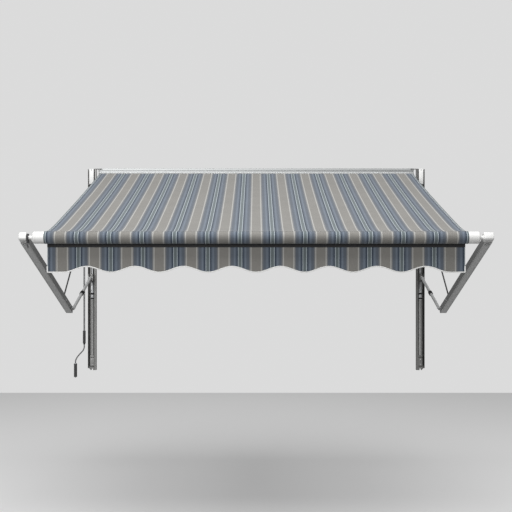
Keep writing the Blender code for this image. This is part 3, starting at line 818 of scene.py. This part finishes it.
def makeArmBolts(side, sign, body):
    bolts, washers = [], []
    for x, outward in armFaces:
        at, away = onArm(sign * x, arm["strutPin"], 0), xAxis * sign * outward
        washers.append(turnedMesh(arm["washer"], at, away, 24))
        bolts.append(turnedMesh(arm["bolt"], at, away, 6))
    for back in arm["headScrewBacks"]:
        for x, outward in armFaces:
            at = onArm(sign * x, armLength - back, arm["headScrewLift"])
            bolts.append(screwHead(at, xAxis * sign * outward, *arm["headScrew"]))
    addPiece("armBolts_" + side, joined("armBolts", bolts + washers), steel, body, sharpAngle=25)

    washer = turnedMesh(arm["elbowWasher"], onArm(sign * armIn, 0, 0), -xAxis * sign)
    nut = turnedMesh(arm["elbowNut"], onArm(sign * (armOut + arm["elbowNutOut"]), 0, 0), xAxis * sign, 6)
    addPiece("elbowBolt_" + side, joined("elbowBolt", [washer, nut]), steel, body, sharpAngle=25)


def makeArmDetails(side, sign):
    for make in (makeArmHead, makeArmRibs, makeArmBolts):
        make(side, sign, "arm_" + side)


# ---- links: end plugs and clamp collar

link = {
    "wallX": 1.632,
    "elbowX": 1.664,
    "plugBack": 0.016,
    "plug": [(0.0030, 0), (0.0030, 0.009), (0.0018, 0.0122), (0, 0.0134), (-0.002, 0.0134)],
    "clampEnd": [(0.025, 0.0137), (0.025, 0.0176), (0.023, 0.0192)],    # the other end mirrors it
    "firstGroove": 0.018,
    "grooves": 5,
    "groovePitch": 0.008,
    "groove": [(0, 0.0192), (-0.0015, 0.0180), (-0.0045, 0.0180), (-0.006, 0.0192)],
    "lug": [(0.0245, 0), (0.0245, 0.0045), (0.0235, 0.0062), (0.0155, 0.0062)],
}


def makeLinkDetails(side, sign):
    body = "link_" + side
    wall = Vector((sign * link["wallX"], *middleOf("link_pin_" + side).yz))
    elbow = Vector((sign * link["elbowX"], *middleOf("elbow_pin_" + side).yz))
    along = (elbow - wall).normalized()
    plugs = [turnedMesh(link["plug"], wall - along * link["plugBack"], -along),
             turnedMesh(link["plug"], elbow + along * link["plugBack"], along)]
    addPiece("linkPlugs_" + side, joined("linkPlugs", plugs), greyPlastic, body)

    outline = list(link["clampEnd"])
    for k in range(link["grooves"]):
        top = link["firstGroove"] - k * link["groovePitch"]
        outline += [(top + height, radius) for height, radius in link["groove"]]
    outline += [(-height, radius) for height, radius in reversed(link["clampEnd"])]
    middle = middleOf("link_collar_" + side)
    clamp = [turnedMesh(outline, middle, along, 36), turnedMesh(link["lug"], middle, along.cross(xAxis), 20)]
    piece = addPiece("clampCollar_" + side, joined("clampCollar", clamp), rubberAndShade, body)
    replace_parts(piece, "link_collar_" + side)


# ---- struts: gland, end fitting

strut = {
    "glandAt": 0.620,           # from the top pin
    "gland": [(0.004, 0.0078), (0.004, 0.0105), (0.001, 0.0131), (-0.014, 0.0131), (-0.015, 0.0125)],
    "fittingAt": 0.040,         # from the lower pin
    "fitting": [(0.020, 0.0066), (0.020, 0.0092), (0.006, 0.0104), (0.004, 0.0104), (0.004, 0.0066)],
}


def makeStrutDetails(side):
    top, low = middleOf("strut_top_pin_" + side), middleOf("strut_pin_" + side)
    along = (low - top).normalized()
    gland = turnedMesh(strut["gland"], top + along * strut["glandAt"], along)
    addPiece("strutGland_" + side, gland, greyPlastic, "strut_cylinder_" + side)
    fitting = turnedMesh(strut["fitting"], low - along * strut["fittingAt"], along, 24)
    addPiece("strutFitting_" + side, fitting, blackPlastic, "strut_rod_" + side)


# ---- roller drums

drum = {
    "bore": 0.0155,
    "rim": [(0, 0.010), (0.002, 0.005), (0.006, 0.0012), (0.010, 0)],   # back from the end, in from the radius
    "grooveBacks": (0.018, 0.024, 0.060),
    "grooveHalf": 0.0008,
    "grooveDepth": 0.0009,
    "innerRim": [(0.001, 0), (0, 0.001), (0, 0.004)],
    "screwCircle": 0.028,
    "screwSink": 0.0004,
    "screw": (0.004, 0.0016),
    "screwTurns": (math.pi / 2, math.pi * 7 / 6, math.pi * 11 / 6),
}


def makeDrum(side, sign):
    low, high = (Vector(corner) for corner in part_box("roller_drum_" + side))
    inner, outer = sorted((abs(low.x), abs(high.x)))
    length, radius = outer - inner, (high.z - low.z) / 2
    outline = [(length, drum["bore"])] + [(length - back, radius - cut) for back, cut in drum["rim"]]
    half = drum["grooveHalf"]
    for back in drum["grooveBacks"]:
        middle = length - back
        outline += [(middle + half, radius), (middle, radius - drum["grooveDepth"]), (middle - half, radius)]
    outline += [(height, radius - cut) for height, cut in drum["innerRim"]]
    origin = Vector((sign * inner, rollAxis.y, rollAxis.z))
    away = xAxis * sign
    shell = turnedMesh(outline, origin, away, 64)
    face = origin + away * (length - drum["screwSink"])
    screws = []
    for turn in drum["screwTurns"]:
        spot = Vector((0, math.cos(turn), math.sin(turn))) * drum["screwCircle"]
        screws.append(screwHead(face + spot, away, *drum["screw"]))
    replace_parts(addPiece("drumShell_" + side, shell, whitePlastic, "roller"), "roller_drum_" + side)
    addPiece("drumScrews_" + side, joined("drumScrews", screws), steel, "roller")


# ---- wall channels: clip, foot, top bracket, and black strips painted in for shade

channel = {
    "bands": ((0.066, 0.050), (0.018, 0.004)),      # top and bottom, above the clip's lower end
    "bandGap": 0.0005,
    "bandShares": (0.88, 0.965),                    # inner and outer, as shares of the clip's half width
    "grooveShare": 0.90,
    "padHalf": 0.0150,
    "pad": {"y": (0.030, -0.050), "z": (-0.004, 0.010)},    # from the link bracket's low corner, front fixed
    "footSoftness": 0.0085,
    "footBandDrops": (0.018, 0.108),
    "footBandHalf": 0.0035,
    "footScrewHeights": (-1.872, -1.918),
    "liner": [((1.6665, -0.0048), (1.6560, -0.0032)), ((1.6678, -0.0365), (1.6664, -0.0050))],
    "linerHeights": (-1.940, -0.135),
    "topSoftness": 0.0015,
    "sealX": 1.6065,
    "sealEnd": 1.532,
    "largeBolt": (0.0080, 0.0034),
    "smallBolt": (0.0050, 0.0026),
    "strutScrews": {"x": 1.6716, "y": -0.030, "heights": (-0.543, -0.575)},
    "screwRadius": 0.0050,
}


def ovalMesh(outline, middle, half, segments=40):
    # a turned outline of heights and shares, stretched to the half width and half depth
    mesh = turnedMesh(outline, Vector((0, 0, 0)), zAxis, segments)
    for vertex in mesh.vertices:
        vertex.co = Vector((middle.x + vertex.co.x * half.x, middle.y + vertex.co.y * half.y, vertex.co.z))
    return mesh


def makeSlideClip(side, sign):
    low, high = (Vector(corner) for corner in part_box("channel_clip_" + side))
    middle, half = (low + high) / 2, (high - low) / 2
    inner, outer = channel["bandShares"]
    gap, cut = channel["bandGap"], channel["grooveShare"]
    outline = [(high.z, 0), (high.z, 0.88), (high.z - 0.004, 1)]
    bands = []
    # black rings set in the clip's grooves: painted shadow in the grooves
    for top, bottom in channel["bands"]:
        top, bottom = low.z + top, low.z + bottom
        outline += [(top + 0.001, 1), (top, cut), (bottom, cut), (bottom - 0.001, 1)]
        ring = [(top - gap, inner), (top - gap, outer), (bottom + gap, outer), (bottom + gap, inner)]
        bands.append(ovalMesh(ring, middle, half))
    outline += [(low.z, 0.96), (low.z, 0)]
    clip = addPiece("slideClip_" + side, ovalMesh(outline, middle, half), barMetal, "root")
    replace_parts(clip, "channel_clip_" + side)
    addPiece("clipBands_" + side, joined("clipBands", bands), rubberAndShade, "root")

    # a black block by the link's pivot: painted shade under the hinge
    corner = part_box("link_bracket_" + side)[0]
    (back, front), (bottom, top) = channel["pad"]["y"], channel["pad"]["z"]
    pad = blockMesh((middle.x - channel["padHalf"], corner[1] + back, corner[2] + bottom),
                    (middle.x + channel["padHalf"], front, corner[2] + top))
    addPiece("hingePad_" + side, pad, blackPlastic, "root")


def makeFoot(side, sign):
    softened("foot_bracket_" + side, "footBracket_" + side, channelPaint, "root", channel["footSoftness"], 4)
    low, high = (Vector(corner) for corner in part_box("foot_bracket_" + side))
    bands = []
    for drop in channel["footBandDrops"]:
        z, half = high.z - drop, channel["footBandHalf"]
        bands.append(blockMesh((low.x + 0.001, low.y - 0.0012, z - half), (high.x - 0.001, low.y + 0.010, z + half)))
    addPiece("footBands_" + side, joined("footBands", bands), rubberAndShade, "root")
    x = middleOf("channel_clip_" + side).x
    screws = [screwHead((x, low.y - 0.0002, z), -yAxis, channel["screwRadius"])
              for z in channel["footScrewHeights"]]
    addPiece("footScrews_" + side, joined("footScrews", screws), steel, "root")


def makeRecessShade(side, sign):
    # near-black strips on the channel's floor between the outer wall and the bar: painted shade for the recess
    bottom, top = channel["linerHeights"]
    strips = [blockMesh((sign * a, b, bottom), (sign * c, d, top)) for (a, b), (c, d) in channel["liner"]]
    addPiece("channelLiner_" + side, joined("channelLiner", strips), linerPaint, "root")


def makeTopBracket(side, sign):
    low, high = (Vector(corner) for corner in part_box("top_bracket_" + side))
    softened("top_bracket_" + side, "topBracket_" + side, whitePlastic, "root", channel["topSoftness"], 2)
    x, end = sign * channel["sealX"], sign * channel["sealEnd"]
    # black strips beside the top bracket and along the rail's end: painted shadow lines
    shadeStrips = [blockMesh((x - 0.0040, -0.0500, -0.090), (x + 0.0040, -0.0400, high.z)),
             blockMesh((min(x, end), -0.0320, 0.0150), (max(x, end), -0.0240, 0.0215))]
    addPiece("railSeals_" + side, joined("railSeals", shadeStrips), rubberAndShade, "root")
    bolts = []
    for size, x, back, z in (("largeBolt", 1.6555, 0.006, -0.1345), ("smallBolt", 1.6340, 0, 0.0085),
                             ("smallBolt", 1.6620, 0.008, 0.0085)):
        bolts.append(turnedMesh(domeProfile(*channel[size]), Vector((sign * x, low.y + back, z)), -yAxis, 20))
    addPiece("topBolts_" + side, joined("topBolts", bolts), darkSteel, "root")

    place = channel["strutScrews"]
    screws = [screwHead((sign * place["x"], place["y"], z), xAxis * sign, channel["screwRadius"])
              for z in place["heights"]]
    addPiece("strutBracketScrews_" + side, joined("strutBracketScrews", screws), steel, "root")


for side, sign in sides.items():
    makeArmDetails(side, sign)
    makeLinkDetails(side, sign)
    makeStrutDetails(side)
    makeDrum(side, sign)
    for make in (makeSlideClip, makeFoot, makeRecessShade, makeTopBracket):
        make(side, sign)
print("arms, links, struts, drums and channels detailed")


# ---- crank: gearbox, eye, hook, bent rod, grips

crank = {
    "hook": [(0, -0.006), (0, 0.014), (0.0006, 0.030), (0.0045, 0.044), (0.0140, 0.0515), (0.0232, 0.046),
             (0.0262, 0.035), (0.0225, 0.0245)],
    "hookRadius": 0.0034,
    "bend": [(0, 0.004), (0, -0.014), (-0.0010, -0.034), (-0.010, -0.058), (-0.030, -0.082), (-0.052, -0.106),
             (-0.072, -0.132), (-0.084, -0.158), (-0.087, -0.185), (-0.087, -0.330)],
    "rodRadius": 0.0060,
    "gripRings": 9,
    "gripWall": 0.0055,
    "gripRound": 0.010,         # plain length at each end of a grip
    "topFerrule": [(0.003, 0.0034), (0.003, 0.0080), (0, 0.0098), (-0.018, 0.0098), (-0.020, 0.0085)],
    "lowFerrule": [(0.012, 0.0085), (0.010, 0.0100), (0.0015, 0.0100), (-0.0015, 0.0080), (-0.0015, 0.0050)],
    "stop": [(0.004, 0.0050), (0.004, 0.0085), (0, 0.0092), (0, 0.0050)],
    "stopGap": 0.0006,
}


def gripMesh(low, high):
    # a moulded sleeve with rings along it and rounded ends
    radius = (high.x - low.x) / 2
    bore = radius - crank["gripWall"]
    outline = [(high.z, bore), (high.z, radius - 0.004), (high.z - 0.0015, radius - 0.0012), (high.z - 0.005, radius)]
    first, last = high.z - crank["gripRound"], low.z + crank["gripRound"]
    pitch = (first - last) / crank["gripRings"]
    for k in range(crank["gripRings"]):
        z = first - pitch * k
        outline += [(z, radius), (z - pitch * 0.22, radius - 0.0013), (z - pitch * 0.50, radius - 0.0013),
                    (z - pitch * 0.72, radius)]
    outline += [(low.z + 0.005, radius), (low.z + 0.0015, radius - 0.0012), (low.z, radius - 0.004), (low.z, bore)]
    return turnedMesh(outline, Vector(((low.x + high.x) / 2, (low.y + high.y) / 2, 0)), zAxis, 32)


def makeBentWire(name, replaced, points, radius, segments):
    mesh = sweptMesh(name, smoothPath(points), radius, radius, segments)
    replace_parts(addPiece(name, mesh, darkSteel, "root"), replaced)


def makeCrank():
    poleLow, poleHigh = (Vector(corner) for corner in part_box("crank_pole"))
    x, y = (poleLow.x + poleHigh.x) / 2, (poleLow.y + poleHigh.y) / 2
    hook = [(x + across, y, poleHigh.z + up) for across, up in crank["hook"]]
    bend = [(x + across, y, poleLow.z + up) for across, up in crank["bend"]]
    makeBentWire("crankHookWire", "crank_hook", hook, crank["hookRadius"], 14)
    makeBentWire("crankBentRod", "crank_rod", bend, crank["rodRadius"], 16)
    for name in ("upper", "lower"):
        gripLow, gripHigh = (Vector(corner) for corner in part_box("crank_%s_grip" % name))
        grip = addPiece(name + "GripSleeve", gripMesh(gripLow, gripHigh), gripPlastic, name + "_grip")
        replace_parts(grip, "crank_%s_grip" % name)
    ferrules = [turnedMesh(crank["topFerrule"], Vector((x, y, poleHigh.z)), zAxis),
                turnedMesh(crank["lowFerrule"], Vector((x, y, poleLow.z)), zAxis)]
    addPiece("crankFerrules", joined("crankFerrules", ferrules), blackPlastic, "root")
    at = Vector(((gripLow.x + gripHigh.x) / 2, y, gripHigh.z + crank["stopGap"]))
    addPiece("gripStop", turnedMesh(crank["stop"], at, zAxis, 24), steel, "root")


gearbox = {
    "wire": 0.0034,
    "eyeRadius": 0.0095,
    "eyeRise": 0.013,           # the eye's middle above its lowest point
    "stem": [(0, 0.0045), (-0.004, 0.0045), (-0.006, 0.0034), (-0.018, 0.0034)],
    "softness": 0.0016,
    "boss": [(0.0006, 0.0060), (0.0006, 0.0082), (-0.002, 0.0090), (-0.012, 0.0090), (-0.012, 0)],
    "bossSink": 0.0004,
    "screwCircle": 0.022,
    "screwDegrees": (60, 180, 300),
    "screw": (0.0032, 0.0012),
}


def makeGearbox():
    eyeLow, eyeHigh = (Vector(corner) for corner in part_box("crank_eye"))
    x, y = (eyeLow.x + eyeHigh.x) / 2, (eyeLow.y + eyeHigh.y) / 2
    ring = ringMesh((x, y, eyeLow.z + gearbox["eyeRise"]), xAxis, gearbox["eyeRadius"], gearbox["wire"])
    stem = turnedMesh(gearbox["stem"], Vector((x, y, eyeHigh.z)), zAxis, 20)
    eye = addPiece("crankEyeRing", joined("crankEyeRing", [ring, stem]), darkSteel, "crank_eye")
    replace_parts(eye, "crank_eye")
    softened("crank_gearbox", "gearboxShell", blackPlastic, "arm_left", gearbox["softness"], 2)
    boxLow, boxHigh = (Vector(corner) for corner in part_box("crank_gearbox"))
    boss = turnedMesh(gearbox["boss"], Vector((x, y, boxLow.z + gearbox["bossSink"])), -zAxis, 24)
    screws = []
    for degrees in gearbox["screwDegrees"]:
        turn, reach = math.radians(degrees), gearbox["screwCircle"]
        at = Vector((boxHigh.x, y + reach * math.cos(turn), rollAxis.z + reach * math.sin(turn)))
        screws.append(screwHead(at, xAxis, *gearbox["screw"]))
    addPiece("gearboxBoss", boss, blackPlastic, "arm_left")
    addPiece("gearboxScrews", joined("gearboxScrews", screws), steel, "arm_left")


makeCrank()
makeGearbox()
print("crank detailed")


# ---- camera, lamps, floor, backdrop

camera = {"distance": 9.296, "height": -0.845, "lens": 65.6, "across": 0.0005}
studio = {
    "lamps": {
        "overhead": {"at": (0, -3.4, 4.6), "towards": (0, -1.6, -0.6), "size": (9, 5), "power": 525},
        "front": {"at": (-3.5, -11.0, 1.6), "towards": (0, -1, -0.9), "size": (6, 4), "power": 530},
    },
    "floorZ": -3.0,
    "floor": {"half": 16, "front": -22, "back": 5.4, "colour": (0.66, 0.66, 0.66), "glow": 0.20},
    "backdrop": 0.71,           # what the camera sees behind the awning
    "fill": 0.20,               # what the awning gets from all round
}


def makeStage():
    lens = bpy.data.cameras.new("camera")
    lens.lens = camera["lens"]
    lens.sensor_width = 36
    lens.shift_x = -camera["across"]
    lens.clip_end = 400
    eye = bpy.data.objects.new("camera", lens)
    eye.location = (0, -camera["distance"], camera["height"])
    eye.rotation_euler = (math.pi / 2, 0, 0)
    bpy.context.scene.collection.objects.link(eye)
    bpy.context.scene.camera = eye

    for name, facts in studio["lamps"].items():
        lamp = bpy.data.lights.new(name, "AREA")
        lamp.shape = "RECTANGLE"
        lamp.size, lamp.size_y = facts["size"]
        lamp.energy = facts["power"]
        holder = bpy.data.objects.new(name, lamp)
        holder.location = facts["at"]
        aim = Vector(facts["towards"]) - Vector(facts["at"])
        holder.rotation_euler = aim.to_track_quat("-Z", "Y").to_euler()
        bpy.context.scene.collection.objects.link(holder)

    ground, z = studio["floor"], studio["floorZ"]
    corners = [(-ground["half"], ground["front"], z), (ground["half"], ground["front"], z),
               (ground["half"], ground["back"], z), (-ground["half"], ground["back"], z)]
    floor = meshFrom("floor", corners, [(0, 1, 2, 3)])
    slab = bpy.data.objects.new("floor", floor)
    bpy.context.scene.collection.objects.link(slab)
    paleFloor = Finish("paleFloor", Roughness=0.9)
    paleFloor.shader.inputs["Base Color"].default_value = (*ground["colour"], 1)
    paleFloor.shader.inputs["Emission Color"].default_value = (1, 1, 1, 1)
    paleFloor.shader.inputs["Emission Strength"].default_value = ground["glow"]
    floor.materials.append(paleFloor.material)
    slab.visible_diffuse = False     # keeps the undersides as dark as they are over shaded ground

    world = bpy.data.worlds.new("studio")
    world.use_nodes = True
    tree = world.node_tree
    sky = tree.nodes["Background"]
    sky.inputs["Color"].default_value = (1, 1, 1, 1)
    path = tree.nodes.new("ShaderNodeLightPath")
    level = tree.nodes.new("ShaderNodeMapRange")
    level.inputs["To Min"].default_value = studio["fill"]
    level.inputs["To Max"].default_value = studio["backdrop"]
    tree.links.new(path.outputs["Is Camera Ray"], level.inputs["Value"])
    tree.links.new(level.outputs["Result"], sky.inputs["Strength"])
    bpy.context.scene.world = world
    bpy.context.scene.view_settings.view_transform = "Standard"


makeStage()
print("stage made")
